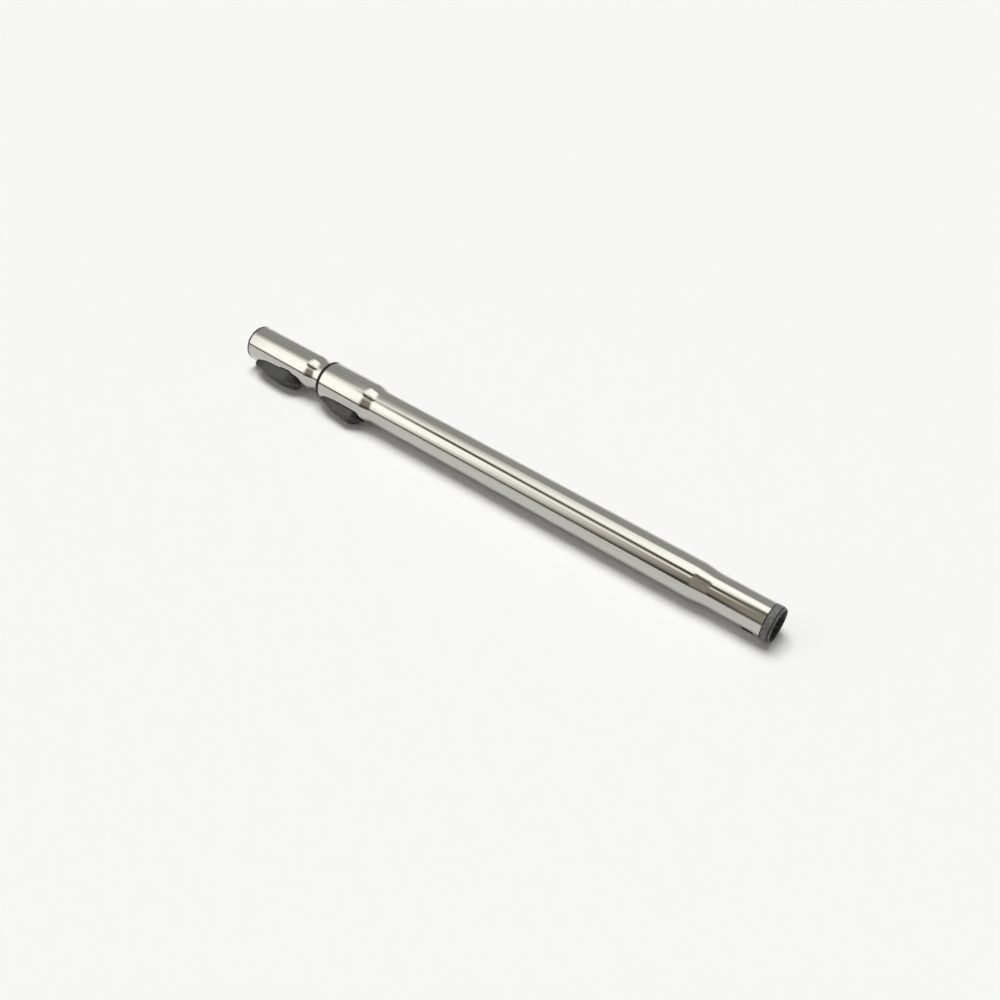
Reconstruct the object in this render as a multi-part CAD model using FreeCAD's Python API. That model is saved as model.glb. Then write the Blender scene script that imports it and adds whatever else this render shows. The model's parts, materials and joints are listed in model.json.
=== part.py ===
import FreeCAD, Part
import math
import os

from FreeCAD import Vector

# Telescopic vacuum wand, in millimetres. The axis of both tubes is X, from the tool end to the handle end.
# The origin is on that axis, at the steel edge of the tool end. Everything is drawn with the levers towards +Y,
# and is turned about the axis at the end, so that the wand lies on its head with the levers on the floor side.

# Steel tubes
STEEL_WALL = 0.7
TOOL_END_DIAMETER = 35.0
TOOL_END_LENGTH = 56.5
SWAGE_LENGTH = 16.0
MAIN_LENGTH = 392.0
HEAD_SHOULDER_LENGTH = 12.0
HEAD_LENGTH = 60.5
INNER_DIAMETER = 35.0
NECK_LENGTH = 11.0
SOCKET_SHOULDER_LENGTH = 10.0
SOCKET_LENGTH = 88.5
HANDLE_TUBE_DIAMETER = 35.0
LYING_ANGLE = 29.0

# Telescope
HIDDEN_END_GAP = 17.0
TRAVEL_STEPS = 12
STOP_GAP = 0.5
GROOVE_SHELF = 0.6
GROOVE_DEPTH = 1.6
GROOVE_RAMP = 4.0
GROOVE_RUN_OUT = 2.0
POCKET_DEPTH = 1.6
POCKET_SIDE_GAP = 0.6
POCKET_END_GAP = 0.7
POCKET_SLOPE = 0.8
SLIDE_CLEARANCE = 0.1
KEY_CLEARANCE = 0.3
KEY_LENGTH = 14.0
KEY_SETBACK = 6.5

# Tool end ring and its slot
RING_PROUD = 9.5
RING_BAND_INSET = 0.1
RING_GAP_WIDTH = 0.9
RING_GROOVE_WIDTH = 1.0
RING_GROOVE_DEPTH = 1.1
RING_LIP_WIDTH = 1.6
RING_LIP_INSET = 0.5
RING_LIP_TAPER = 0.6
RING_SLEEVE_WALL = 1.25
RING_SLEEVE_LENGTH = 50.0
TOOL_SLOT_START = 5.5
TOOL_SLOT_LENGTH = 12.0
TOOL_SLOT_WIDTH = 7.0
TOOL_SLOT_CORNER = 1.2
SEAT_CLEARANCE = 0.05

# Guide bush in the head
COLLAR_WIDTH = 4.0
BUSH_WALL = 3.8
BUSH_STOP_LENGTH = 10.0
BUSH_STOP_PLAY = 0.25
BUSH_FLOOR = 0.7
BUSH_RECESS_DEPTH = 2.4
BUSH_RECESS_MARGIN = 8.0
BUSH_RECESS_EDGE = 6.0

# Rear guide on the hidden end of the inner tube
REAR_GUIDE_WALL = 0.95
REAR_GUIDE_LENGTH = 20.0
REAR_GUIDE_CLEARANCE = 0.15
REAR_GUIDE_SPLIT = 0.4
REAR_PEG_WIDTH = 4.0
REAR_PEG_CLEARANCE = 0.1
SEAL_WIDTH = 3.0
SEAL_CLEARANCE = 0.1
END_LIP_WIDTH = 1.4
END_LIP_HEIGHT = 0.7
AXIAL_GAP = 0.1

# Handle socket liner
RIM_WIDTH = 2.0
LINER_WALL = 1.65
LINER_ENTRY_PLAY = 0.25
LINER_ENTRY_LENGTH = 30.0
LINER_LEAD_IN = 1.0
LINER_SEAT_PLAY = 0.05
LINER_INSERTION = 63.0
LINER_LEDGE_DEPTH = 1.25
LINER_FLOOR = 0.6
LINER_END_GAP = 1.0

# Both levers
LEVER_WALL = 1.9
LEVER_GAP = 0.3
WINDOW_GAP = 0.5
LEVER_EDGE = 0.7
SHARP_TURN = 15.0
PIN_DIAMETER = 2.5
PIN_RUNNING_GAP = 0.06
EAR_INSIDE = 2.4
EAR_THICKNESS = 2.2
EAR_WALL = 1.15
EAR_SIDE_GAP = 0.4
EAR_PIN_GAP = 0.02
CLIP_THICKNESS = 1.8
CLIP_WALL = 1.15
CLIP_DEPTH = 1.0
CLIP_SNAP = 0.2
BEARING_TOE = 1.6
BEARING_SHOULDER = 0.9
BEARING_BASE = 1.2
BEARING_ROOM = 1.0
PAD_HEIGHT = 0.3
SPRING_WIDTH = 4.0
SPRING_THICKNESS = 0.4
SPRING_FOLD = 1.0
SPRING_SWEEP = 148.0
SPRING_FOOT = 11.0
SPRING_ARM = 9.0
SPRING_BEARING_GAP = 1.0
SPRING_SEAT_LENGTH = 5.0

# Release lever on the head, along the axis from its nose unless the name says otherwise
RELEASE_NOSE_GAP = 0.5
RELEASE_LENGTH = 65.0
RELEASE_WIDTH = 19.6
RELEASE_TAIL_LENGTH = 11.0
RELEASE_CHEEK = 18.0
RELEASE_NOSE_LENGTH = 5.4
RELEASE_NOSE_WIDTH = 15.8
RELEASE_TIP_WIDTH = 6.0
RELEASE_DRAFT = 0.187
RELEASE_CORNER = 1.6
RELEASE_NOSE_HEIGHT = 1.3
RELEASE_CREASE = 15.0
RELEASE_CREASE_HEIGHT = 4.95
RELEASE_RIDGE_FROM_TAIL = 20.0
RELEASE_RIDGE_HEIGHT = 8.45
RELEASE_TAIL_HEIGHT = 0.5
RELEASE_PIVOT = 34.0
RELEASE_PIVOT_HEIGHT = 2.35
BLADE_FROM_PIVOT = 26.0
BLADE_THICKNESS = 2.6
BLADE_WIDTH = 8.0
BLADE_SEAT = 3.4
BLADE_HOLDER_WALL = 1.2
BLADE_HOLDER_DEPTH = 4.6
BLADE_SWING = 0.8
BLADE_ROOM = 0.5

# Handle latch on the socket, along the axis from its nose unless the name says otherwise
HANDLE_NOSE_TO_RIM = 10.0
HANDLE_LENGTH = 73.5
HANDLE_WIDTH = 24.4
HANDLE_WIDEST_FROM_TAIL = 17.5
HANDLE_TAIL_SHOULDER = 7.5
HANDLE_TAIL_SHOULDER_WIDTH = 18.4
HANDLE_TAIL_WIDTH = 6.0
HANDLE_CHEEK = 15.5
HANDLE_CHEEK_WIDTH = 19.2
HANDLE_TIP_WIDTH = 7.0
HANDLE_DRAFT = 0.159
HANDLE_CORNER = 1.6
HANDLE_NOSE_HEIGHT = 3.5
HANDLE_BROW = 7.0
HANDLE_BROW_HEIGHT = 6.55
HANDLE_CREASE = 24.0
HANDLE_CREASE_HEIGHT = 8.4
HANDLE_CROWN = 42.0
HANDLE_CROWN_HEIGHT = 9.25
HANDLE_BACK_FROM_TAIL = 9.5
HANDLE_BACK_HEIGHT = 6.6
HANDLE_TAIL_HEIGHT = 1.2
HANDLE_PIVOT_FROM_TAIL = 26.5
HANDLE_PIVOT_HEIGHT = 3.35
TOOTH_FROM_PIVOT = 22.0
TOOTH_LENGTH = 4.0
TOOTH_WIDTH = 7.0
TOOTH_LEAD_IN = 1.8
TOOTH_BITE = 1.75
TOOTH_SWING = 0.7
TOOTH_ROOM = 0.4

# Radii and stations along the axis that follow from the sizes above
TOOL_END_RADIUS = TOOL_END_DIAMETER / 2
INNER_RADIUS = INNER_DIAMETER / 2
REAR_GUIDE_INSIDE = INNER_RADIUS + SEAT_CLEARANCE
REAR_GUIDE_OUTSIDE = REAR_GUIDE_INSIDE + REAR_GUIDE_WALL
MAIN_RADIUS = REAR_GUIDE_OUTSIDE + REAR_GUIDE_CLEARANCE + STEEL_WALL
BUSH_BORE = INNER_RADIUS + SLIDE_CLEARANCE
BUSH_OUTSIDE = BUSH_BORE + BUSH_WALL
HEAD_RADIUS = BUSH_OUTSIDE + SEAT_CLEARANCE + STEEL_WALL
LINER_SEAT = HANDLE_TUBE_DIAMETER / 2 + LINER_SEAT_PLAY
LINER_ENTRY = HANDLE_TUBE_DIAMETER / 2 + LINER_ENTRY_PLAY
LINER_DUCT = LINER_SEAT - LINER_LEDGE_DEPTH
LINER_OUTSIDE = LINER_ENTRY + LINER_WALL
SOCKET_RADIUS = LINER_OUTSIDE + SEAT_CLEARANCE + STEEL_WALL
SWAGE_END = TOOL_END_LENGTH + SWAGE_LENGTH
MAIN_END = SWAGE_END + MAIN_LENGTH
HEAD_START = MAIN_END + HEAD_SHOULDER_LENGTH
HEAD_END = HEAD_START + HEAD_LENGTH
COLLAR_FACE = HEAD_END + COLLAR_WIDTH
NECK_END = COLLAR_FACE + NECK_LENGTH
SOCKET_START = NECK_END + SOCKET_SHOULDER_LENGTH
SOCKET_END = SOCKET_START + SOCKET_LENGTH
SOCKET_MOUTH = SOCKET_END + RIM_WIDTH
BUSH_START = HEAD_START + AXIAL_GAP
BUSH_STOP = BUSH_START - BUSH_STOP_LENGTH
BUSH_POCKET = BUSH_BORE + BUSH_FLOOR
KEY_END = COLLAR_FACE - KEY_SETBACK
KEY_START = KEY_END - KEY_LENGTH
INNER_START = SWAGE_END + HIDDEN_END_GAP
SEAL_BACK = INNER_START + END_LIP_WIDTH + AXIAL_GAP
REAR_GUIDE_BACK = SEAL_BACK + SEAL_WIDTH + AXIAL_GAP
REAR_GUIDE_FRONT = REAR_GUIDE_BACK + REAR_GUIDE_LENGTH
TRAVEL = BUSH_STOP - STOP_GAP - REAR_GUIDE_FRONT
LINER_START = SOCKET_START + LINER_END_GAP
LINER_LEDGE = SOCKET_MOUTH - LINER_INSERTION
LINER_STEP = SOCKET_MOUTH - LINER_ENTRY_LENGTH
LINER_SEAT_POCKET = LINER_SEAT + LINER_FLOOR
LINER_DUCT_POCKET = LINER_DUCT + LINER_FLOOR
GROOVE_FLOOR = INNER_RADIUS - GROOVE_DEPTH
POCKET_WIDTH = BLADE_WIDTH + 2 * POCKET_SIDE_GAP
POCKET_LENGTH = BLADE_THICKNESS + 2 * POCKET_END_GAP
GROOVE_WIDTH = POCKET_WIDTH + 2 * GROOVE_SHELF
DETENT_PITCH = TRAVEL / TRAVEL_STEPS
RELEASE_NOSE = HEAD_END - RELEASE_NOSE_GAP
RELEASE_TAIL = RELEASE_NOSE - RELEASE_LENGTH
RELEASE_PIVOT_X = RELEASE_NOSE - RELEASE_PIVOT
RELEASE_PIVOT_Y = HEAD_RADIUS + RELEASE_PIVOT_HEIGHT
BLADE_X = RELEASE_PIVOT_X + BLADE_FROM_PIVOT
EAR_RADIUS = PIN_DIAMETER / 2 + EAR_WALL
CLIP_HALF_LENGTH = PIN_DIAMETER / 2 + CLIP_WALL
CLIP_START = EAR_INSIDE + EAR_THICKNESS + EAR_SIDE_GAP
PIN_LENGTH = 2 * (CLIP_START + CLIP_THICKNESS)
BEARING_LENGTH = 2 * (EAR_RADIUS + BEARING_TOE)
BEARING_WIDTH = 2 * (EAR_INSIDE + EAR_THICKNESS + BEARING_SHOULDER)
HANDLE_NOSE = SOCKET_END - HANDLE_NOSE_TO_RIM
HANDLE_TAIL = HANDLE_NOSE - HANDLE_LENGTH
HANDLE_PIVOT_X = HANDLE_TAIL + HANDLE_PIVOT_FROM_TAIL
HANDLE_PIVOT_Y = SOCKET_RADIUS + HANDLE_PIVOT_HEIGHT
TOOTH_X = HANDLE_PIVOT_X + TOOTH_FROM_PIVOT
BLADE_ROUND_Y = GROOVE_FLOOR - POCKET_DEPTH + KEY_CLEARANCE + BLADE_THICKNESS / 2
BLADE_HOLDER_LOW = RELEASE_PIVOT_Y - BLADE_HOLDER_DEPTH
BLADE_TOP = BLADE_HOLDER_LOW + BLADE_SEAT
TOOTH_TIP = HANDLE_TUBE_DIAMETER / 2 - TOOTH_BITE
TOOTH_SLOT_END = TOOTH_X + TOOTH_LENGTH / 2 + TOOTH_SWING + TOOTH_ROOM
REAR_PEG_X = (REAR_GUIDE_BACK + REAR_GUIDE_FRONT) / 2
REACH = 2 * HEAD_RADIUS

OUTER_STATIONS = [
    (0.0, TOOL_END_RADIUS),
    (TOOL_END_LENGTH, TOOL_END_RADIUS),
    (SWAGE_END, MAIN_RADIUS),
    (MAIN_END, MAIN_RADIUS),
]
HEAD_STATIONS = [
    (MAIN_END, MAIN_RADIUS),
    (HEAD_START, HEAD_RADIUS),
    (HEAD_END, HEAD_RADIUS),
]
SOCKET_STATIONS = [
    (NECK_END, INNER_RADIUS),
    (SOCKET_START, SOCKET_RADIUS),
    (SOCKET_END, SOCKET_RADIUS),
]


# Shapes turned about the axis of the tubes
def on_profile(x, radius):
    """A point of a turned profile, drawn on the side away from the levers."""
    return Vector(x, -radius, 0)


def turned_ring(points):
    """A ring whose section is a polygon of stations and radii."""
    corners = [on_profile(*point) for point in points]
    wire = Part.makePolygon(corners + corners[:1])
    return Part.Face(wire).revolve(Vector(0, 0, 0), Vector(1, 0, 0), 360)


def turned_solid(stations, offset=0.0):
    """A full round bar with the outline of a tube, moved out by an offset, or in by a negative one."""
    moved = [(x, radius + offset) for x, radius in stations]
    return turned_ring([(moved[-1][0], 0), (moved[0][0], 0)] + moved)


def steel_wall(stations):
    return turned_solid(stations).cut(turned_solid(stations, -STEEL_WALL))


def bar(start, end, radius):
    return Part.makeCylinder(radius, end - start, Vector(start, 0, 0), Vector(1, 0, 0))


# Blocks and cuts on the lever side
def block(x_low, x_high, y_low, y_high, z_low, z_high):
    size = (x_high - x_low, y_high - y_low, z_high - z_low)
    return Part.makeBox(*size, Vector(x_low, y_low, z_low))


def cross_bar(x, y, radius, z_low, z_high):
    return Part.makeCylinder(radius, z_high - z_low, Vector(x, y, z_low), Vector(0, 0, 1))


def peg(x, y_low, y_high, width):
    return block(x - width / 2, x + width / 2, y_low, y_high, -width / 2, width / 2)


def floor_pad(start, end, width, floor):
    """A flat pad that stands on the round floor of a pocket."""
    pad = block(start, end, 0, floor + PAD_HEIGHT, -width / 2, width / 2)
    return pad.cut(bar(start, end, floor - PAD_HEIGHT))


def cross_section(points, width):
    """A prism of a lengthwise section, across the middle of the lever side."""
    corners = [Vector(x, y, -width / 2) for x, y in points]
    face = Part.Face(Part.makePolygon(corners + corners[:1]))
    return face.extrude(Vector(0, 0, width))


# Outlines of the levers and of the windows they sink into
def mirrored(half):
    """A closed outline from the stations and widths along one half, tail first."""
    one_side = [(x, width / 2) for x, width in half]
    other_side = [(x, -width / 2) for x, width in reversed(half) if width > 0]
    return one_side + other_side


def inset(outline, distance):
    """An outline with every side moved inwards, or outwards for a negative distance."""
    sides = []
    for start, end in zip(outline, outline[1:] + outline[:1]):
        run = end[0] - start[0]
        rise = end[1] - start[1]
        length = math.hypot(run, rise)
        normal = (rise / length, -run / length)
        sides.append((normal, normal[0] * start[0] + normal[1] * start[1] + distance))
    corners = []
    for (a, level_a), (b, level_b) in zip(sides[-1:] + sides[:-1], sides):
        cross = a[0] * b[1] - a[1] * b[0]
        x = (level_a * b[1] - level_b * a[1]) / cross
        z = (a[0] * level_b - b[0] * level_a) / cross
        corners.append((x, z))
    return corners


def outline_corners(outline, height):
    return [Vector(x, height, z) for x, z in outline]


def outline_prism(outline, low, high):
    corners = outline_corners(outline, low)
    face = Part.Face(Part.makePolygon(corners + corners[:1]))
    return face.extrude(Vector(0, high - low, 0))


def drafted_block(outline, low, high, draft):
    """A block on an outline, whose sides lean inwards towards the top."""
    bottom = outline_corners(outline, low)
    top = outline_corners(inset(outline, draft * (high - low)), high)
    rings = [bottom[::-1], top]
    for i in range(len(bottom)):
        j = (i + 1) % len(bottom)
        rings.append([bottom[i], bottom[j], top[j], top[i]])
    shell = Part.makeShell([Part.Face(Part.makePolygon(ring + ring[:1])) for ring in rings])
    shell.sewShape()
    return Part.makeSolid(shell)


def upright_corners(shape):
    """The edges that stand up from an outline, where it turns sharply."""
    edges = []
    for edge in shape.Edges:
        one, other = shape.ancestorsOfType(edge, Part.Face)
        turn_angle = one.normalAt(0, 0).getAngle(other.normalAt(0, 0))
        upright = abs(edge.Vertexes[0].Y - edge.Vertexes[-1].Y) > LEVER_WALL
        if upright and turn_angle > math.radians(SHARP_TURN):
            edges.append(edge)
    return edges


def rim_edges(shape):
    """The edges where the top facets of a lever meet its sides."""
    facing_up = []
    for face in shape.Faces:
        u_low, u_high, v_low, v_high = face.ParameterRange
        if face.normalAt((u_low + u_high) / 2, (v_low + v_high) / 2).y > 0.5:
            facing_up.append(face)
    edges = [edge for face in facing_up for edge in face.Edges]
    return [edge for edge in edges if sum(edge.isSame(other) for other in edges) == 1]


class Lever:
    """The sizes of one rocking lever: its outline and top, the tube it lies on, its pivot and its spring."""

    def __init__(self, half_outline, top, stations, radius, pivot, pocket_floor, draft, corner):
        self.outline = mirrored(half_outline)
        self.top = top
        self.stations = stations
        self.pivot_x, self.pivot_y = pivot
        self.pocket_floor = pocket_floor
        fold_reach = SPRING_FOLD + SPRING_THICKNESS / 2
        self.fold_x = self.pivot_x - BEARING_LENGTH / 2 - SPRING_BEARING_GAP - fold_reach
        self.fold_y = pocket_floor + PAD_HEIGHT + SEAT_CLEARANCE + fold_reach
        self.draft = draft
        self.corner = corner
        half_width = max(z for x, z in self.outline)
        self.low = math.sqrt(radius ** 2 - half_width ** 2) - LEVER_WALL
        self.high = max(y for x, y in top) + LEVER_WALL

    def sides(self, shrink):
        """A block with the lever's outline, with every side moved inwards."""
        return drafted_block(inset(self.outline, shrink), self.low, self.high, self.draft)

    def under_roof(self, sides, shrink):
        """What lies under the facets of the lever's top, moved inwards."""
        roof = [(x, y - shrink) for x, y in self.top]
        ends = [(roof[-1][0], self.low - LEVER_WALL), (roof[0][0], self.low - LEVER_WALL)]
        return sides.common(cross_section(roof + ends, REACH))

    def shell(self, features, cuts):
        """The hollow moulding, with its spring seat, its two clips for the pin and what else hangs inside."""
        sides = self.sides(0)
        outside = self.under_roof(sides.makeChamfer(self.corner, upright_corners(sides)), 0)
        bevelled = outside.makeChamfer(LEVER_EDGE, rim_edges(outside))
        moulding = bevelled.cut(self.under_roof(self.sides(LEVER_WALL), LEVER_WALL))
        moulding = moulding.cut(turned_solid(self.stations, LEVER_GAP))
        arm_end = self.spring_side(SPRING_THICKNESS / 2)[-1]
        seat = block(
            arm_end.x - SPRING_SEAT_LENGTH / 2, arm_end.x + SPRING_SEAT_LENGTH / 2,
            arm_end.y + SEAT_CLEARANCE, self.high, -SPRING_WIDTH / 2, SPRING_WIDTH / 2)
        inside = features + [seat]
        for z_low in (-PIN_LENGTH / 2, CLIP_START):
            inside.append(block(
                self.pivot_x - CLIP_HALF_LENGTH, self.pivot_x + CLIP_HALF_LENGTH,
                self.pivot_y - CLIP_DEPTH, self.high, z_low, z_low + CLIP_THICKNESS))
        for feature in inside:
            moulding = moulding.fuse(feature.common(bevelled))
        hole_end = PIN_LENGTH / 2 + SEAT_CLEARANCE
        hole_radius = PIN_DIAMETER / 2 + PIN_RUNNING_GAP
        pin_hole = cross_bar(self.pivot_x, self.pivot_y, hole_radius, -hole_end, hole_end)
        half_mouth = PIN_DIAMETER / 2 - CLIP_SNAP
        mouth = block(
            self.pivot_x - half_mouth, self.pivot_x + half_mouth,
            self.pivot_y - EAR_RADIUS, self.pivot_y, -hole_end, hole_end)
        for cut in [pin_hole, mouth] + cuts:
            moulding = moulding.cut(cut)
        return moulding.removeSplitter()

    def window(self, neck_end, neck_width):
        """The opening under the lever: its tail sinks into the wide part, its nose reaches in through the neck."""
        wide_end = self.pivot_x + BEARING_LENGTH / 2 + BEARING_ROOM
        tail = self.outline[0][0] - REACH
        outline = inset(self.outline, -WINDOW_GAP)
        wide = outline_prism(outline, 0, REACH).common(block(tail, wide_end, 0, REACH, -REACH, REACH))
        neck = block(self.pivot_x, neck_end, 0, REACH, -neck_width / 2, neck_width / 2)
        return wide.fuse(neck).removeSplitter()

    def bearing_ends(self):
        return self.pivot_x - BEARING_LENGTH / 2, self.pivot_x + BEARING_LENGTH / 2

    def bearing(self, floor):
        """The block that stands in the pocket under the lever, with two ears for the pin."""
        start, end = self.bearing_ends()
        low = floor + PAD_HEIGHT + SEAT_CLEARANCE
        bearing = block(start, end, low, low + BEARING_BASE, -BEARING_WIDTH / 2, BEARING_WIDTH / 2)
        ear = cross_section([
            (self.pivot_x - EAR_RADIUS, low),
            (self.pivot_x + EAR_RADIUS, low),
            (self.pivot_x + EAR_RADIUS, self.pivot_y + EAR_RADIUS / 2),
            (self.pivot_x + EAR_RADIUS / 2, self.pivot_y + EAR_RADIUS),
            (self.pivot_x - EAR_RADIUS / 2, self.pivot_y + EAR_RADIUS),
            (self.pivot_x - EAR_RADIUS, self.pivot_y + EAR_RADIUS / 2),
        ], EAR_THICKNESS)
        ear_z = EAR_INSIDE + EAR_THICKNESS / 2
        for z in (-ear_z, ear_z):
            bearing = bearing.fuse(ear.translated(Vector(0, 0, z)))
        hole = cross_bar(self.pivot_x, self.pivot_y, PIN_DIAMETER / 2 + EAR_PIN_GAP, -PIN_LENGTH, PIN_LENGTH)
        return bearing.cut(hole).removeSplitter()

    def bearing_pad(self, floor):
        start, end = self.bearing_ends()
        return floor_pad(start, end, BEARING_WIDTH, floor)

    def pin(self):
        return cross_bar(self.pivot_x, self.pivot_y, PIN_DIAMETER / 2, -PIN_LENGTH / 2, PIN_LENGTH / 2)

    def spring_pad(self):
        return floor_pad(self.fold_x - SPRING_FOOT, self.fold_x, SPRING_WIDTH, self.pocket_floor)

    def spring_side(self, offset):
        """Points along one side of the bent strip: end of the foot, three on the fold, end of the arm."""
        radius = SPRING_FOLD + offset
        sweep = math.radians(SPRING_SWEEP)
        points = [Vector(self.fold_x - SPRING_FOOT, self.fold_y - radius, 0)]
        for angle in (0, sweep / 2, sweep):
            points.append(Vector(
                self.fold_x + radius * math.sin(angle), self.fold_y - radius * math.cos(angle), 0))
        points.append(points[-1] + Vector(SPRING_ARM * math.cos(sweep), SPRING_ARM * math.sin(sweep), 0))
        return points

    def spring(self):
        """A bent strip of spring steel that lifts the tail of the lever."""
        edges = []
        ends = []
        for offset in (-SPRING_THICKNESS / 2, SPRING_THICKNESS / 2):
            foot, fold_start, fold_middle, fold_end, arm_end = self.spring_side(offset)
            edges.append(Part.makeLine(foot, fold_start))
            edges.append(Part.Arc(fold_start, fold_middle, fold_end).toShape())
            edges.append(Part.makeLine(fold_end, arm_end))
            ends.append((foot, arm_end))
        edges += [Part.makeLine(one, other) for one, other in zip(*ends)]
        strip = Part.Face(Part.Wire(Part.__sortEdges__(edges)))
        strip.translate(Vector(0, 0, -SPRING_WIDTH / 2))
        return strip.extrude(Vector(0, 0, SPRING_WIDTH))


def release_lever_sizes():
    half_outline = [
        (RELEASE_TAIL, 0),
        (RELEASE_TAIL + RELEASE_TAIL_LENGTH, RELEASE_WIDTH),
        (RELEASE_NOSE - RELEASE_CHEEK, RELEASE_WIDTH),
        (RELEASE_NOSE - RELEASE_NOSE_LENGTH, RELEASE_NOSE_WIDTH),
        (RELEASE_NOSE, RELEASE_TIP_WIDTH),
    ]
    top = [
        (RELEASE_TAIL - LEVER_WALL, HEAD_RADIUS + RELEASE_TAIL_HEIGHT),
        (RELEASE_TAIL, HEAD_RADIUS + RELEASE_TAIL_HEIGHT),
        (RELEASE_TAIL + RELEASE_RIDGE_FROM_TAIL, HEAD_RADIUS + RELEASE_RIDGE_HEIGHT),
        (RELEASE_NOSE - RELEASE_CREASE, HEAD_RADIUS + RELEASE_CREASE_HEIGHT),
        (RELEASE_NOSE, HEAD_RADIUS + RELEASE_NOSE_HEIGHT),
        (RELEASE_NOSE + LEVER_WALL, HEAD_RADIUS + RELEASE_NOSE_HEIGHT),
    ]
    return Lever(
        half_outline, top, HEAD_STATIONS, HEAD_RADIUS, (RELEASE_PIVOT_X, RELEASE_PIVOT_Y),
        BUSH_POCKET, RELEASE_DRAFT, RELEASE_CORNER)


def handle_latch_sizes():
    half_outline = [
        (HANDLE_TAIL, HANDLE_TAIL_WIDTH),
        (HANDLE_TAIL + HANDLE_TAIL_SHOULDER, HANDLE_TAIL_SHOULDER_WIDTH),
        (HANDLE_TAIL + HANDLE_WIDEST_FROM_TAIL, HANDLE_WIDTH),
        (HANDLE_NOSE - HANDLE_CHEEK, HANDLE_CHEEK_WIDTH),
        (HANDLE_NOSE, HANDLE_TIP_WIDTH),
    ]
    top = [
        (HANDLE_TAIL - LEVER_WALL, SOCKET_RADIUS + HANDLE_TAIL_HEIGHT),
        (HANDLE_TAIL, SOCKET_RADIUS + HANDLE_TAIL_HEIGHT),
        (HANDLE_TAIL + HANDLE_BACK_FROM_TAIL, SOCKET_RADIUS + HANDLE_BACK_HEIGHT),
        (HANDLE_NOSE - HANDLE_CROWN, SOCKET_RADIUS + HANDLE_CROWN_HEIGHT),
        (HANDLE_NOSE - HANDLE_CREASE, SOCKET_RADIUS + HANDLE_CREASE_HEIGHT),
        (HANDLE_NOSE - HANDLE_BROW, SOCKET_RADIUS + HANDLE_BROW_HEIGHT),
        (HANDLE_NOSE, SOCKET_RADIUS + HANDLE_NOSE_HEIGHT),
        (HANDLE_NOSE + LEVER_WALL, SOCKET_RADIUS + HANDLE_NOSE_HEIGHT),
    ]
    return Lever(
        half_outline, top, SOCKET_STATIONS, SOCKET_RADIUS, (HANDLE_PIVOT_X, HANDLE_PIVOT_Y),
        LINER_DUCT_POCKET, HANDLE_DRAFT, HANDLE_CORNER)


RELEASE = release_lever_sizes()
HANDLE = handle_latch_sizes()


# The release lever and its blade
def blade_block(room, top):
    half_length = BLADE_THICKNESS / 2 + room
    half_width = BLADE_WIDTH / 2 + room
    return block(BLADE_X - half_length, BLADE_X + half_length, BLADE_ROUND_Y, top, -half_width, half_width)


def make_lock_blade():
    """A flat steel blade with a round lower edge, at rest in a pocket of the inner tube."""
    edge = cross_bar(BLADE_X, BLADE_ROUND_Y, BLADE_THICKNESS / 2, -BLADE_WIDTH / 2, BLADE_WIDTH / 2)
    return blade_block(0, BLADE_TOP).fuse(edge).removeSplitter()


def make_release_lever():
    half_length = BLADE_THICKNESS / 2 + BLADE_HOLDER_WALL
    half_width = BLADE_WIDTH / 2 + BLADE_HOLDER_WALL
    holder = block(
        BLADE_X - half_length, BLADE_X + half_length, BLADE_HOLDER_LOW, RELEASE.high, -half_width, half_width)
    return RELEASE.shell([holder], [blade_block(SEAT_CLEARANCE, BLADE_TOP + SEAT_CLEARANCE)])


def release_window():
    neck_end = BLADE_X + BLADE_THICKNESS / 2 + BLADE_HOLDER_WALL + BLADE_SWING + BLADE_ROOM
    neck_width = BLADE_WIDTH + 2 * (BLADE_HOLDER_WALL + BLADE_ROOM)
    return RELEASE.window(neck_end, neck_width)


# The handle latch and its tooth
def make_handle_latch():
    start = TOOTH_X - TOOTH_LENGTH / 2
    end = TOOTH_X + TOOTH_LENGTH / 2
    tooth = cross_section([
        (start, HANDLE.high),
        (start, TOOTH_TIP),
        (end - TOOTH_LEAD_IN, TOOTH_TIP),
        (end, TOOTH_TIP + TOOTH_LEAD_IN),
        (end, HANDLE.high),
    ], TOOTH_WIDTH)
    return HANDLE.shell([tooth], [])


def handle_window():
    return HANDLE.window(TOOTH_SLOT_END, TOOTH_WIDTH + 2 * TOOTH_ROOM)


# The outer tube and what is fixed in it
def tool_slot():
    slot = block(
        TOOL_SLOT_START, TOOL_SLOT_START + TOOL_SLOT_LENGTH, 0, REACH, -TOOL_SLOT_WIDTH / 2, TOOL_SLOT_WIDTH / 2)
    return slot.makeFillet(TOOL_SLOT_CORNER, upright_corners(slot))


def make_outer_tube():
    """The tool end with its slot, the swage and the main run."""
    return steel_wall(OUTER_STATIONS).cut(tool_slot())


def make_head_tube():
    """The wide head that is welded to the main run, with the window under the release lever."""
    return steel_wall(HEAD_STATIONS).cut(release_window())


def make_tool_end_ring():
    """A moulded ring: a sleeve inside the steel, then a gap, a band, a groove and a lip out to the mouth."""
    sleeve = TOOL_END_RADIUS - STEEL_WALL - SEAT_CLEARANCE
    bore = sleeve - RING_SLEEVE_WALL
    band = TOOL_END_RADIUS - RING_BAND_INSET
    groove_radius = band - RING_GROOVE_DEPTH
    lip = band - RING_LIP_INSET
    lip_start = RING_LIP_WIDTH - RING_PROUD
    groove_start = lip_start + RING_GROOVE_WIDTH
    ring = turned_ring([
        (RING_SLEEVE_LENGTH, bore),
        (RING_SLEEVE_LENGTH, sleeve),
        (-RING_GAP_WIDTH, sleeve),
        (-RING_GAP_WIDTH, band),
        (groove_start, band),
        (groove_start, groove_radius),
        (lip_start, groove_radius),
        (lip_start, lip),
        (-RING_PROUD, lip - RING_LIP_TAPER),
        (-RING_PROUD, bore),
    ])
    return ring.cut(tool_slot())


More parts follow.
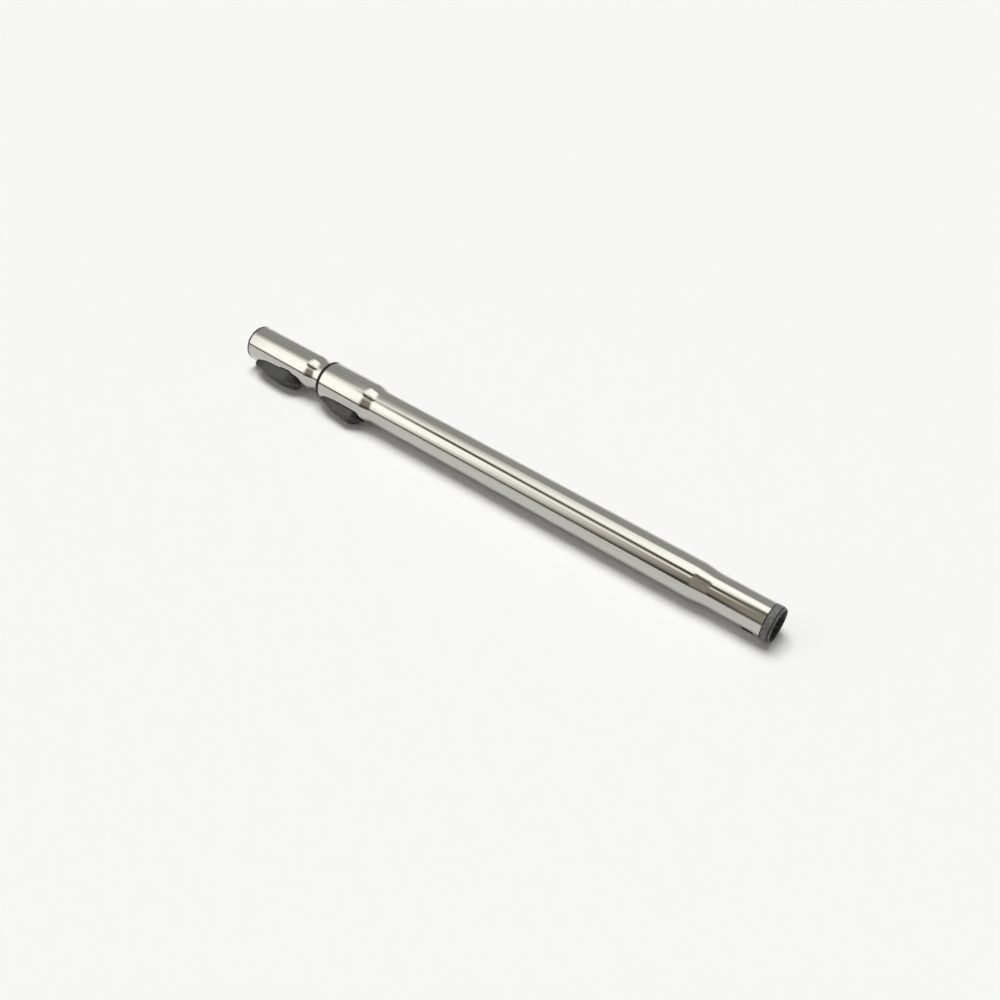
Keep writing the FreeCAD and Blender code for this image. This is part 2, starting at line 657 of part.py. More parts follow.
def bush_recess():
    """The recess that keeps the far side of the bush thin, away from the lever."""
    start = BUSH_START + BUSH_RECESS_MARGIN
    end = HEAD_END - BUSH_RECESS_MARGIN
    ring = bar(start, end, HEAD_RADIUS).cut(bar(start, end, BUSH_OUTSIDE - BUSH_RECESS_DEPTH))
    return ring.common(block(start, end, -REACH, -BUSH_RECESS_EDGE, -REACH, REACH))


def make_guide_bush():
    """The collar and the bush in the head, with a key for the groove and a pocket for the release lever."""
    stop_radius = MAIN_RADIUS - STEEL_WALL - BUSH_STOP_PLAY
    bush = turned_ring([
        (BUSH_STOP, BUSH_BORE),
        (BUSH_STOP, stop_radius),
        (BUSH_START, stop_radius),
        (BUSH_START, BUSH_OUTSIDE),
        (HEAD_END, BUSH_OUTSIDE),
        (HEAD_END, HEAD_RADIUS),
        (COLLAR_FACE, HEAD_RADIUS),
        (COLLAR_FACE, BUSH_BORE),
    ])
    bush = bush.cut(bush_recess())
    key_half_width = GROOVE_WIDTH / 2 - KEY_CLEARANCE
    key = block(
        KEY_START, KEY_END, GROOVE_FLOOR + KEY_CLEARANCE, BUSH_POCKET, -key_half_width, key_half_width)
    bush = bush.fuse(key.common(bar(BUSH_STOP, COLLAR_FACE, BUSH_POCKET)))
    pocket = release_window().cut(bar(BUSH_STOP, COLLAR_FACE, BUSH_POCKET))
    tail_room = release_window().common(block(BUSH_STOP, BUSH_START, 0, REACH, -REACH, REACH))
    half_length = BLADE_THICKNESS / 2 + BLADE_ROOM
    slot = block(
        BLADE_X - half_length, BLADE_X + half_length + BLADE_SWING, 0, REACH, -GROOVE_WIDTH / 2, GROOVE_WIDTH / 2)
    bush = bush.cut(pocket).cut(tail_room).cut(slot)
    return bush.fuse(RELEASE.spring_pad()).fuse(RELEASE.bearing_pad(BUSH_POCKET)).removeSplitter()


# The inner tube and what is fixed on it
def groove(grow):
    """The lengthwise groove with a cross pocket at each step of the travel, grown by the steel's wall inside."""
    start = KEY_START - TRAVEL - GROOVE_RUN_OUT - GROOVE_RAMP - grow
    end = KEY_END + GROOVE_RUN_OUT + GROOVE_RAMP + grow
    floor = GROOVE_FLOOR - grow
    channel = cross_section([
        (start, INNER_RADIUS + GROOVE_DEPTH),
        (start + GROOVE_RAMP, floor),
        (end - GROOVE_RAMP, floor),
        (end, INNER_RADIUS + GROOVE_DEPTH),
    ], GROOVE_WIDTH + 2 * grow)
    half_length = POCKET_LENGTH / 2 + grow
    half_floor = half_length - POCKET_SLOPE
    pockets = []
    for step in range(TRAVEL_STEPS + 1):
        x = BLADE_X - step * DETENT_PITCH
        pockets.append(cross_section([
            (x - half_length, floor),
            (x - half_floor, floor - POCKET_DEPTH),
            (x + half_floor, floor - POCKET_DEPTH),
            (x + half_length, floor),
        ], POCKET_WIDTH + 2 * grow))
    return channel.multiFuse(pockets)


def make_inner_tube():
    """The sliding tube, with the groove pressed into its wall and a lip round its hidden end."""
    inside_radius = INNER_RADIUS - STEEL_WALL
    outside = bar(INNER_START, NECK_END, INNER_RADIUS).cut(groove(0))
    inside = bar(INNER_START, NECK_END, inside_radius).cut(groove(STEEL_WALL))
    tube = outside.cut(inside)
    lip_end = INNER_START + END_LIP_WIDTH
    lip = bar(INNER_START, lip_end, INNER_RADIUS + END_LIP_HEIGHT).cut(bar(INNER_START, lip_end, inside_radius))
    peg_hole = peg(REAR_PEG_X, -REACH, REACH, REAR_PEG_WIDTH + 2 * REAR_PEG_CLEARANCE)
    return tube.fuse(lip).cut(peg_hole).removeSplitter()


def make_socket_tube():
    """The wide end that is welded to the neck of the inner tube."""
    return steel_wall(SOCKET_STATIONS).cut(handle_window())


def make_rear_guide(side):
    """One half shell, with a square peg that sits in a hole of the inner tube."""
    outside = bar(REAR_GUIDE_BACK, REAR_GUIDE_FRONT, REAR_GUIDE_OUTSIDE)
    ring = outside.cut(bar(REAR_GUIDE_BACK, REAR_GUIDE_FRONT, REAR_GUIDE_INSIDE))
    half = ring.common(block(REAR_GUIDE_BACK, REAR_GUIDE_FRONT, REAR_GUIDE_SPLIT / 2, REACH, -REACH, REACH))
    foot = peg(REAR_PEG_X, INNER_RADIUS - STEEL_WALL, INNER_RADIUS + STEEL_WALL, REAR_PEG_WIDTH)
    shell = half.fuse(foot).removeSplitter()
    if side < 0:
        shell.rotate(Vector(0, 0, 0), Vector(1, 0, 0), 180)
    return shell


def make_rear_seal_ring():
    outside = MAIN_RADIUS - STEEL_WALL - SEAL_CLEARANCE
    end = SEAL_BACK + SEAL_WIDTH
    return bar(SEAL_BACK, end, outside).cut(bar(SEAL_BACK, end, REAR_GUIDE_INSIDE))


def make_handle_socket_liner():
    """The liner of the socket: rim, entry, seat and stop for the handle's tube, with a pocket for the latch."""
    liner = turned_ring([
        (LINER_START, LINER_DUCT),
        (LINER_START, LINER_OUTSIDE),
        (SOCKET_END, LINER_OUTSIDE),
        (SOCKET_END, SOCKET_RADIUS),
        (SOCKET_MOUTH, SOCKET_RADIUS),
        (SOCKET_MOUTH, LINER_ENTRY + LINER_LEAD_IN),
        (SOCKET_MOUTH - LINER_LEAD_IN, LINER_ENTRY),
        (LINER_STEP, LINER_ENTRY),
        (LINER_STEP, LINER_SEAT),
        (LINER_LEDGE, LINER_SEAT),
        (LINER_LEDGE, LINER_DUCT),
    ])
    floor_step = LINER_LEDGE - LINER_FLOOR
    pocket = handle_window().cut(bar(LINER_START, floor_step, LINER_DUCT_POCKET))
    pocket = pocket.cut(bar(floor_step, SOCKET_MOUTH, LINER_SEAT_POCKET))
    half_width = TOOTH_WIDTH / 2 + TOOTH_ROOM
    slot = block(
        TOOTH_X - TOOTH_LENGTH / 2 - TOOTH_ROOM, TOOTH_SLOT_END, 0, REACH, -half_width, half_width)
    liner = liner.cut(pocket).cut(slot)
    return liner.fuse(HANDLE.spring_pad()).fuse(HANDLE.bearing_pad(LINER_SEAT_POCKET)).removeSplitter()


PIECES = {
    "outer_tube": make_outer_tube(),
    "head_tube": make_head_tube(),
    "tool_end_ring": make_tool_end_ring(),
    "guide_bush": make_guide_bush(),
    "release_bearing": RELEASE.bearing(BUSH_POCKET),
    "release_pin": RELEASE.pin(),
    "release_spring": RELEASE.spring(),
    "release_lever": make_release_lever(),
    "lock_blade": make_lock_blade(),
    "inner_tube": make_inner_tube(),
    "socket_tube": make_socket_tube(),
    "rear_guide_latch_side": make_rear_guide(1),
    "rear_guide_far_side": make_rear_guide(-1),
    "rear_seal_ring": make_rear_seal_ring(),
    "handle_socket_liner": make_handle_socket_liner(),
    "handle_bearing": HANDLE.bearing(LINER_SEAT_POCKET),
    "handle_pin": HANDLE.pin(),
    "handle_spring": HANDLE.spring(),
    "handle_latch": make_handle_latch(),
}

os.makedirs("parts", exist_ok=True)
for name, piece in PIECES.items():
    piece.rotate(Vector(0, 0, 0), Vector(1, 0, 0), -LYING_ANGLE)
    piece.exportStep(f"parts/{name}.step")
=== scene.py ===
import json
import math

import bmesh
import bpy
from mathutils import Matrix, Vector


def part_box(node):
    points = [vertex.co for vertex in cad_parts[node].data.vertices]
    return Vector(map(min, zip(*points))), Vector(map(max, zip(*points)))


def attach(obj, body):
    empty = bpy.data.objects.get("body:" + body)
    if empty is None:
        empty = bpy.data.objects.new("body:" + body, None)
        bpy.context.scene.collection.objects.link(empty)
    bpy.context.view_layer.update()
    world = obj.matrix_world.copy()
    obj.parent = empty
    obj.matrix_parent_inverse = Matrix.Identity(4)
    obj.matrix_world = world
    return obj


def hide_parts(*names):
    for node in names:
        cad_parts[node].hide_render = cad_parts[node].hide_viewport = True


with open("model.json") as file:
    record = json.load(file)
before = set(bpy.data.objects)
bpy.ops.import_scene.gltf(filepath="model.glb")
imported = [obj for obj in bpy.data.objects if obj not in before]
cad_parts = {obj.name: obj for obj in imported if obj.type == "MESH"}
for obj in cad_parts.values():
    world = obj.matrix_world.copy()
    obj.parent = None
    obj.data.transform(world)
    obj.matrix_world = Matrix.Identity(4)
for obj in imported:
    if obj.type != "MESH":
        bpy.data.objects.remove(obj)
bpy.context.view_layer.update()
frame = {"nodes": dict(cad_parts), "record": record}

# The wand is drawn in millimetres with its levers towards +Y, then turned about its axis as it lies and
# brought to metres. Sizes along the axis and the outer radii come from the frame.
MM = 0.001
LYING_ANGLE = 29.0
DRAWN_TO_FRAME = Matrix.Rotation(math.radians(-LYING_ANGLE), 4, "X") @ Matrix.Scale(MM, 4)


def ends(node):
    """Where a node starts and ends along the axis."""
    low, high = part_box(node)
    return low[0] / MM, high[0] / MM


def radius_of(node):
    """The largest distance of a node's surface from the axis."""
    return max(math.hypot(vertex.co.y, vertex.co.z) for vertex in frame["nodes"][node].data.vertices) / MM


def joint_named(joint_name):
    return next(joint for joint in frame["record"]["behaviour"]["joints"] if joint["name"] == joint_name)


def pivot_of(joint_name):
    """Station and radius of a lever's pivot."""
    x, y, z = joint_named(joint_name)["pos_m"]
    return x / MM, math.hypot(y, z) / MM


# Steel tubes
STEEL_WALL = 0.7
STEEL_EDGE = 0.22
TOOL_END_RADIUS = 17.5
TOOL_END_LENGTH = 56.5
SWAGE_LENGTH = 16.0
SWAGE_SOFTNESS = 45.0
MAIN_RADIUS = radius_of("outer_tube")
HEAD_SHOULDER_LENGTH = 12.0
SHOULDER_SOFTNESS = 20.0
SOCKET_SHOULDER_LENGTH = 10.0
INNER_RADIUS = 17.5
END_LIP_WIDTH = 1.4
END_LIP_EDGE = 0.15
INNER_START, NECK_END = ends("inner_tube")
SOCKET_END = ends("socket_tube")[1]
MAIN_END, HEAD_END = ends("head_tube")
HEAD_RADIUS = radius_of("head_tube")
SOCKET_RADIUS = radius_of("socket_tube")
END_LIP_RADIUS = radius_of("inner_tube")
HEAD_START = MAIN_END + HEAD_SHOULDER_LENGTH
SWAGE_END = TOOL_END_LENGTH + SWAGE_LENGTH
SOCKET_START = NECK_END + SOCKET_SHOULDER_LENGTH

# Groove of the inner tube
GROOVE_WIDTH = 10.4
GROOVE_FLOOR = INNER_RADIUS - 1.6
GROOVE_TOP = INNER_RADIUS + 1.6
GROOVE_RAMP = 4.0
GROOVE_RUN_OUT = 2.0
GROOVE_OVERLAP = 1.0
POCKET_DEPTH = 1.6
POCKET_LENGTH = 4.0
POCKET_SLOPE = 0.8
POCKET_WIDTH = 9.2
TRAVEL_STEPS = 12
TRAVEL = joint_named("telescope")["range_m"][1] / MM
PEG_HOLE = 4.2
PEG_STATION = sum(ends("rear_guide_latch_side")) / 2

# Tool end ring and slot
RING_FRONT, RING_SLEEVE_END = ends("tool_end_ring")
RING_SLEEVE = TOOL_END_RADIUS - STEEL_WALL - 0.05
RING_BORE = RING_SLEEVE - 1.25
RING_BAND = TOOL_END_RADIUS - 0.1
RING_GROOVE = RING_BAND - 1.1
RING_LIP = RING_BAND - 0.5
RING_LIP_TAPER = 0.6
RING_LIP_WIDTH = 1.6
RING_GROOVE_WIDTH = 1.0
RING_GAP_WIDTH = 0.9
RING_EDGE = 0.25
SLOT_START = 5.5
SLOT_LENGTH = 12.0
SLOT_WIDTH = 7.0
SLOT_CORNER = 1.2

# Guide bush and collar
BUSH_STOP, COLLAR_FACE = ends("guide_bush")
BUSH_STOP_LENGTH = 10.0
BUSH_START = BUSH_STOP + BUSH_STOP_LENGTH
BUSH_STOP_RADIUS = MAIN_RADIUS - STEEL_WALL - 0.25
BUSH_OUTSIDE = HEAD_RADIUS - STEEL_WALL - 0.05
BUSH_BORE = INNER_RADIUS + 0.1
BUSH_POCKET = BUSH_BORE + 0.7
BUSH_RECESS = BUSH_OUTSIDE - 2.4
BUSH_RECESS_MARGIN = 8.0
BUSH_RECESS_EDGE = 6.0
COLLAR_EDGE = 0.5
KEY_END = COLLAR_FACE - 6.5
KEY_LENGTH = 14.0
KEY_START = KEY_END - KEY_LENGTH
KEY_CLEARANCE = 0.3

# Handle socket liner
LINER_START, SOCKET_MOUTH = ends("handle_socket_liner")
LINER_OUTSIDE = SOCKET_RADIUS - STEEL_WALL - 0.05
LINER_ENTRY = 17.75
LINER_SEAT = 17.55
LINER_DUCT = LINER_SEAT - 1.25
LINER_FLOOR = 0.6
LINER_LEAD_IN = 1.0
LINER_STEP = SOCKET_MOUTH - 30.0
LINER_LEDGE = SOCKET_MOUTH - 63.0
RIM_EDGE = 0.4

# Lever sizes
LEVER_WALL = 1.9
LEVER_GAP = 0.3
LEVER_RIM = 0.7
LEVER_EDGE = 0.2
LEVER_EDGE_STEPS = 4
LEVER_CORNER = 1.6
SHARP_TURN = math.radians(15.0)
WINDOW_GAP = 0.5
BEARING_HALF_LENGTH = 4.0
BEARING_WIDTH = 11.0
BEARING_ROOM = 1.0
PAD_HEIGHT = 0.3
PAD_ROOT = 0.3
SPRING_WIDTH = 4.0
SPRING_FOOT = 11.0
SPRING_ARM = 9.0
SPRING_REACH = 1.2
SPRING_SWEEP = math.radians(148.0)
SPRING_BEARING_GAP = 1.0
SPRING_SEAT_LENGTH = 5.0
SEAT_CLEARANCE = 0.05
CLIP_HALF_LENGTH = 2.4
CLIP_START = 5.0
CLIP_THICKNESS = 1.8
CLIP_DEPTH = 1.0
PIN_HOLE = 1.31
PIN_HOLE_STEPS = 48
PIN_MOUTH = 1.05
BLADE_FROM_PIVOT = 26.0
BLADE_HALF = 1.3
BLADE_HALF_WIDTH = 4.0
BLADE_SEAT = 3.4
BLADE_HOLDER_WALL = 1.2
BLADE_HOLDER_DEPTH = 4.6
BLADE_SWING = 0.8
BLADE_ROOM = 0.5
TOOTH_FROM_PIVOT = 22.0
TOOTH_HALF = 2.0
TOOTH_HALF_WIDTH = 3.5
TOOTH_LEAD_IN = 1.8
TOOTH_TIP = 15.75
TOOTH_SWING = 0.7
TOOTH_ROOM = 0.4

# How finely round shapes are divided
SEGMENTS = 224
ARC_STEP = math.radians(12.0)
ARC_STEPS_LEAST = 5
REACH = 60.0
SMOOTH_ANGLE = math.radians(32.0)
FLAT_ANGLE = math.radians(0.5)
SAME_PLACE = 0.001
ON_PLANE = 1e-6


# Meshes and how they are combined
def mesh_object(bm):
    mesh = bpy.data.meshes.new("made")
    bmesh.ops.recalc_face_normals(bm, faces=bm.faces[:])
    bm.to_mesh(mesh)
    bm.free()
    made = bpy.data.objects.new("made", mesh)
    bpy.context.scene.collection.objects.link(made)
    return made


def settle(made):
    """Puts the result of an object's modifiers into its own mesh."""
    graph = bpy.context.evaluated_depsgraph_get()
    mesh = bpy.data.meshes.new_from_object(made.evaluated_get(graph), depsgraph=graph)
    made.modifiers.clear()
    old = made.data
    made.data = mesh
    bpy.data.meshes.remove(old)


def combine(made, other, operation):
    modifier = made.modifiers.new("combine", "BOOLEAN")
    modifier.operation = operation
    modifier.solver = "EXACT"
    modifier.object = other
    settle(made)
    mesh = other.data
    bpy.data.objects.remove(other)
    bpy.data.meshes.remove(mesh)
    return made


def cut(made, other):
    return combine(made, other, "DIFFERENCE")


def fuse(made, other):
    return combine(made, other, "UNION")


def common(made, other):
    return combine(made, other, "INTERSECT")


def rounded(corners, closed=True):
    """A section whose corners, each a station, a radius and a rounding, become arcs."""
    section = []
    for i, (x, y, rounding) in enumerate(corners):
        inside = closed or 0 < i < len(corners) - 1
        if rounding == 0 or not inside:
            section.append((x, y))
            continue
        corner = Vector((x, y))
        before = (Vector(corners[i - 1][:2]) - corner).normalized()
        after = (Vector(corners[(i + 1) % len(corners)][:2]) - corner).normalized()
        half = before.angle(after) / 2
        centre = corner + (before + after).normalized() * rounding / math.sin(half)
        start = corner + before * rounding / math.tan(half) - centre
        end = corner + after * rounding / math.tan(half) - centre
        sweep = math.pi - 2 * half
        steps = max(ARC_STEPS_LEAST, math.ceil(sweep / ARC_STEP))
        for step in range(steps + 1):
            share = step / steps
            blend = start * math.sin((1 - share) * sweep) + end * math.sin(share * sweep)
            section.append(tuple(centre + blend / math.sin(sweep)))
    return section


def turn_rings(bm, points):
    """One ring of vertices for each station and radius."""
    rings = []
    for x, radius in points:
        ring = []
        for step in range(SEGMENTS):
            angle = 2 * math.pi * step / SEGMENTS
            ring.append(bm.verts.new((x, radius * math.cos(angle), radius * math.sin(angle))))
        rings.append(ring)
    return rings


def join_rings(bm, one, other):
    for step in range(SEGMENTS):
        after = (step + 1) % SEGMENTS
        bm.faces.new((one[step], one[after], other[after], other[step]))


def turned_ring(section):
    """A ring turned from a closed section."""
    bm = bmesh.new()
    rings = turn_rings(bm, section)
    for one, other in zip(rings, rings[1:] + rings[:1]):
        join_rings(bm, one, other)
    return mesh_object(bm)


def turned_bar(stations):
    """A full round bar through a list of stations and radii."""
    bm = bmesh.new()
    rings = turn_rings(bm, stations)
    for one, other in zip(rings, rings[1:]):
        join_rings(bm, one, other)
    bm.faces.new(rings[0])
    bm.faces.new(rings[-1])
    return mesh_object(bm)


def bar(start, end, radius):
    return turned_bar([(start, radius), (end, radius)])


def block(x_low, x_high, y_low, y_high, z_low, z_high):
    return convex([
        ((x_low, 0, 0), (-1, 0, 0)),
        ((x_high, 0, 0), (1, 0, 0)),
        ((0, y_low, 0), (0, -1, 0)),
        ((0, y_high, 0), (0, 1, 0)),
        ((0, 0, z_low), (0, 0, -1)),
        ((0, 0, z_high), (0, 0, 1)),
    ])


def convex_bmesh(planes):
    """What lies behind every one of some planes, each a point and an outward direction."""
    bm = bmesh.new()
    bmesh.ops.create_cube(bm, size=4 * (SOCKET_MOUTH + REACH))
    for point, direction in planes:
        geometry = bm.verts[:] + bm.edges[:] + bm.faces[:]
        bmesh.ops.bisect_plane(
            bm, geom=geometry, dist=ON_PLANE, plane_co=point, plane_no=Vector(direction).normalized(),
            clear_outer=True)
        bmesh.ops.holes_fill(bm, edges=[edge for edge in bm.edges if edge.is_boundary], sides=0)
    bmesh.ops.recalc_face_normals(bm, faces=bm.faces[:])
    return bm


def convex(planes):
    return mesh_object(convex_bmesh(planes))


def rounded_convex(planes, rounding):
    """The same body with its edges rounded: the hull of small balls in the corners of a smaller body."""
    inner_planes = []
    for point, direction in planes:
        inner_planes.append((Vector(point) - Vector(direction).normalized() * rounding, direction))
    core = convex_bmesh(inner_planes)
    bm = bmesh.new()
    for vertex in core.verts:
        directions = [sum((face.normal for face in vertex.link_faces), Vector()).normalized()]
        for edge in vertex.link_edges:
            one, other = (face.normal for face in edge.link_faces)
            for step in range(LEVER_EDGE_STEPS + 1):
                directions.append(one.lerp(other, step / LEVER_EDGE_STEPS).normalized())
        for direction in directions:
            bm.verts.new(vertex.co + direction * rounding)
    core.free()
    bmesh.ops.remove_doubles(bm, verts=bm.verts[:], dist=SAME_PLACE)
    hull = bmesh.ops.convex_hull(bm, input=bm.verts[:])
    inside = set(hull["geom_interior"]) | set(hull["geom_unused"])
    spare = [item for item in inside if isinstance(item, bmesh.types.BMVert)]
    bmesh.ops.delete(bm, geom=spare, context="VERTS")
    bmesh.ops.dissolve_limit(bm, angle_limit=FLAT_ANGLE, verts=bm.verts[:], edges=bm.edges[:])
    return mesh_object(bm)


def bevel(one, other, leg):
    """The plane that takes off the edge between two planes, with equal legs."""
    first, second = (Vector(direction).normalized() for point, direction in (one, other))
    reach = first.dot(Vector(one[0]))
    other_reach = second.dot(Vector(other[0]))
    both = first.dot(second)
    edge = (first * (reach - both * other_reach) + second * (other_reach - both * reach)) / (1 - both ** 2)
    slope = (first + second).normalized()
    return edge - slope * leg * math.sin(first.angle(second) / 2), slope


def prism(points, axis, low, high):
    """A prism of a closed outline, drawn across Y or Z."""
    bm = bmesh.new()
    ends_of_prism = []
    for level in (low, high):
        place = {"Y": lambda a, b: (a, level, b), "Z": lambda a, b: (a, b, level)}[axis]
        ends_of_prism.append([bm.verts.new(place(a, b)) for a, b in points])
    first, last = ends_of_prism
    bm.faces.new(first)
    bm.faces.new(last)
    for i in range(len(points)):
        j = (i + 1) % len(points)
        bm.faces.new((first[i], first[j], last[j], last[i]))
    return mesh_object(bm)


def joined(pieces):
    """Separate solids as one mesh."""
    bm = bmesh.new()
    for piece in pieces:
        bm.from_mesh(piece.data)
        mesh = piece.data
        bpy.data.objects.remove(piece)
        bpy.data.meshes.remove(mesh)
    return mesh_object(bm)


def place_piece(made, name, body, nodes, material, weigh_normals=False):
    """Turns a drawn piece into the frame, smooths it, ties it to its body and hides the solids it stands for.
    """
    made.name = name
    made.data.name = name
    made.data.transform(DRAWN_TO_FRAME)
    made.data.materials.clear()
    made.data.materials.append(material)
    made.data.shade_smooth()
    made.data.set_sharp_from_angle(angle=SMOOTH_ANGLE)
    if weigh_normals:
        modifier = made.modifiers.new("even_normals", "WEIGHTED_NORMAL")
        modifier.keep_sharp = True
        settle(made)
    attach(made, body)
    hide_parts(*nodes)
    return made


# Levers
def chamfered(outline):
    """An outline with its sharp corners cut off."""
    points = []
    for i, corner in enumerate(outline):
        here = Vector(corner)
        before = (Vector(outline[i - 1]) - here).normalized()
        after = (Vector(outline[(i + 1) % len(outline)]) - here).normalized()
        if math.pi - before.angle(after) > SHARP_TURN:
            points += [tuple(here + before * LEVER_CORNER), tuple(here + after * LEVER_CORNER)]
        else:
            points.append(corner)
    return points


class Lever:
    """One rocking lever: half outline and top along the axis from its pivot, as the solid has them."""

    def __init__(self, joint_name, half_outline, top, radius, draft):
        self.x, self.y = pivot_of(joint_name)
        half = [(self.x + x, z) for x, z in half_outline]
        self.outline = half + [(x, -z) for x, z in reversed(half) if z > 0]
        self.sides = chamfered(self.outline)
        self.top = [(self.x + x, radius + height) for x, height in top]
        self.draft = draft
        half_width = max(z for x, z in half)
        self.low = math.sqrt(radius ** 2 - half_width ** 2) - LEVER_WALL
        self.high = max(y for x, y in self.top) + LEVER_WALL
        self.fold_x = self.x - BEARING_HALF_LENGTH - SPRING_BEARING_GAP - SPRING_REACH

    def side_planes(self, outline, shrink, draft):
        planes = []
        for (x, z), (next_x, next_z) in zip(outline, outline[1:] + outline[:1]):
            outward = Vector((z - next_z, next_x - x)).normalized()
            point = (x - outward.x * shrink, self.low, z - outward.y * shrink)
            planes.append((point, (outward.x, draft, outward.y)))
        return planes

    def top_planes(self, shrink):
        planes = []
        for (x, y), (next_x, next_y) in zip(self.top, self.top[1:]):
            planes.append(((x, y - shrink, 0), (y - next_y, next_x - x, 0)))
        return planes

    def body_planes(self, shrink, depth):
        """The lever as a full body, with every side and facet moved inwards."""
        planes = self.side_planes(self.sides, shrink, self.draft) + self.top_planes(shrink)
        return planes + [((self.x, self.low - depth, 0), (0, -1, 0))]

    def rim_planes(self):
        """The narrow bevel along the rim, where the sides meet the facets of the top."""
        sides = self.side_planes(self.sides, 0, self.draft)
        return [bevel(side, facet, LEVER_RIM) for side in sides for facet in self.top_planes(0)]

    def moulding(self, tube_stations, spring_floor, features, cuts):
        """The hollow lever over its tube, with a spring seat, two pin clips and its own features inside."""
        made = rounded_convex(self.body_planes(0, 0) + self.rim_planes(), LEVER_EDGE)
        cut(made, convex(self.body_planes(LEVER_WALL, LEVER_WALL)))
        cut(made, turned_bar([(x, radius + LEVER_GAP) for x, radius in tube_stations]))
        fold_y = spring_floor + PAD_HEIGHT + SEAT_CLEARANCE + SPRING_REACH
        arm_x = self.fold_x + SPRING_REACH * math.sin(SPRING_SWEEP) + SPRING_ARM * math.cos(SPRING_SWEEP)
        arm_y = fold_y - SPRING_REACH * math.cos(SPRING_SWEEP) + SPRING_ARM * math.sin(SPRING_SWEEP)
        inside = features + [block(
            arm_x - SPRING_SEAT_LENGTH / 2, arm_x + SPRING_SEAT_LENGTH / 2,
            arm_y + SEAT_CLEARANCE, self.high, -SPRING_WIDTH / 2, SPRING_WIDTH / 2)]
        for z in (-CLIP_START - CLIP_THICKNESS, CLIP_START):
            inside.append(block(
                self.x - CLIP_HALF_LENGTH, self.x + CLIP_HALF_LENGTH,
                self.y - CLIP_DEPTH, self.high, z, z + CLIP_THICKNESS))
        for feature in inside:
            fuse(made, common(feature, convex(self.body_planes(LEVER_EDGE, LEVER_WALL))))
        hole_end = CLIP_START + CLIP_THICKNESS + SEAT_CLEARANCE
        hole = [(self.x + PIN_HOLE * math.cos(turn), self.y + PIN_HOLE * math.sin(turn))
                for turn in (2 * math.pi * step / PIN_HOLE_STEPS for step in range(PIN_HOLE_STEPS))]
        cut(made, prism(hole, "Z", -hole_end, hole_end))
        cut(made, block(
            self.x - PIN_MOUTH, self.x + PIN_MOUTH, self.y - CLIP_HALF_LENGTH, self.y, -hole_end, hole_end))
        for cutter in cuts:
            cut(made, cutter)
        return made

    def window(self, neck_end, neck_half_width):
        """The opening under the lever: wide under its tail and bearing, narrow towards its nose."""
        wide_end = self.x + BEARING_HALF_LENGTH + BEARING_ROOM
        planes = self.side_planes(self.outline, -WINDOW_GAP, 0)
        planes.append(((wide_end, 0, 0), (1, 0, 0)))
        planes.append(((0, 0, 0), (0, -1, 0)))
        planes.append(((0, REACH, 0), (0, 1, 0)))
        neck = block(self.x, neck_end, -1, REACH + 1, -neck_half_width, neck_half_width)
        return fuse(convex(planes), neck)

    def pads(self, spring_floor, bearing_floor):
        """The two flat pads on the round floor of the pocket, for the spring and for the bearing."""
        made = []
        for start, end, width, floor in (
            (self.fold_x - SPRING_FOOT, self.fold_x, SPRING_WIDTH, spring_floor),
            (self.x - BEARING_HALF_LENGTH, self.x + BEARING_HALF_LENGTH, BEARING_WIDTH, bearing_floor),
        ):
            pad = block(start, end, 0, floor + PAD_HEIGHT, -width / 2, width / 2)
            made.append(cut(pad, bar(start - 1, end + 1, floor - PAD_ROOT)))
        return made


RELEASE = Lever(
    "release_press",
    [(-31, 0), (-20, 9.8), (16, 9.8), (28.6, 7.9), (34, 3)],
    [(-31, 0.5), (-11, 8.45), (19, 4.95), (34, 1.3)],
    HEAD_RADIUS, 0.187)
HANDLE = Lever(
    "handle_latch_press",
    [(-26.5, 3), (-19, 9.2), (-9, 12.2), (31.5, 9.6), (47, 3.5)],
    [(-26.5, 1.2), (-17, 6.6), (5, 9.25), (23, 8.4), (40, 6.55), (47, 3.5)],
    SOCKET_RADIUS, 0.159)
BLADE_X = RELEASE.x + BLADE_FROM_PIVOT
TOOTH_X = HANDLE.x + TOOTH_FROM_PIVOT
TOOTH_SLOT_END = TOOTH_X + TOOTH_HALF + TOOTH_SWING + TOOTH_ROOM


def release_window():
    neck_end = BLADE_X + BLADE_HALF + BLADE_HOLDER_WALL + BLADE_SWING + BLADE_ROOM
    return RELEASE.window(neck_end, BLADE_HALF_WIDTH + BLADE_HOLDER_WALL + BLADE_ROOM)


def handle_window():
    return HANDLE.window(TOOTH_SLOT_END, TOOTH_HALF_WIDTH + TOOTH_ROOM)


# Outlines of the tubes: station, radius and how softly the corner is drawn
OUTER_CORNERS = [
    (0.0, TOOL_END_RADIUS, STEEL_EDGE),
    (TOOL_END_LENGTH, TOOL_END_RADIUS, SWAGE_SOFTNESS),
    (SWAGE_END, MAIN_RADIUS, SWAGE_SOFTNESS),
    (MAIN_END, MAIN_RADIUS, SHOULDER_SOFTNESS),
    (HEAD_START, HEAD_RADIUS, SHOULDER_SOFTNESS),
    (HEAD_END, HEAD_RADIUS, STEEL_EDGE),
]
INNER_CORNERS = [
    (INNER_START, END_LIP_RADIUS, END_LIP_EDGE),
    (INNER_START + END_LIP_WIDTH, END_LIP_RADIUS, END_LIP_EDGE),
    (INNER_START + END_LIP_WIDTH, INNER_RADIUS, END_LIP_EDGE),
    (NECK_END, INNER_RADIUS, SHOULDER_SOFTNESS),
    (SOCKET_START, SOCKET_RADIUS, SHOULDER_SOFTNESS),
    (SOCKET_END, SOCKET_RADIUS, STEEL_EDGE),
]
